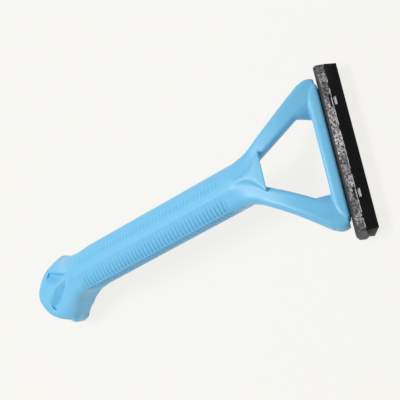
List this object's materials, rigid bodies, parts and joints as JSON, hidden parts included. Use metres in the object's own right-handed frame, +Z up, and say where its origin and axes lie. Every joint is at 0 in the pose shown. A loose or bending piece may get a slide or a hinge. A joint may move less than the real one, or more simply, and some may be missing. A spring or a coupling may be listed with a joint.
{
  "type": "disposable razor",
  "caption": "Fixed-head disposable razor: a ribbed moulded handle forks into a triangular yoke and a rail that carries a stacked blade head.",
  "frame": {"origin": "middle of the razor's bounding box at the table's level, where the foot of the tail and the head's lower corner rest", "axes": "+X along the razor from the tail to the head, +Y along the blades, +Z up from the table; the ribbed side of the handle looks up"},
  "size_m": [0.1076, 0.042, 0.0177],
  "materials": {
    "handle_plastic": "satin light blue moulded plastic",
    "seat_plastic": "fine spark-textured dark grey moulded plastic",
    "cap_plastic": "smooth black moulded plastic",
    "blade_steel": "rolled strip with a ground edge",
    "spacer_aluminium": "stamped strip"
  },
  "bodies": {
    "root": {"handle": "handle_plastic", "blade_seat": "seat_plastic", "lower_blade": "blade_steel", "blade_spacer": "spacer_aluminium", "upper_blade": "blade_steel", "head_cap": "cap_plastic"}
  },
  "joints": []
}
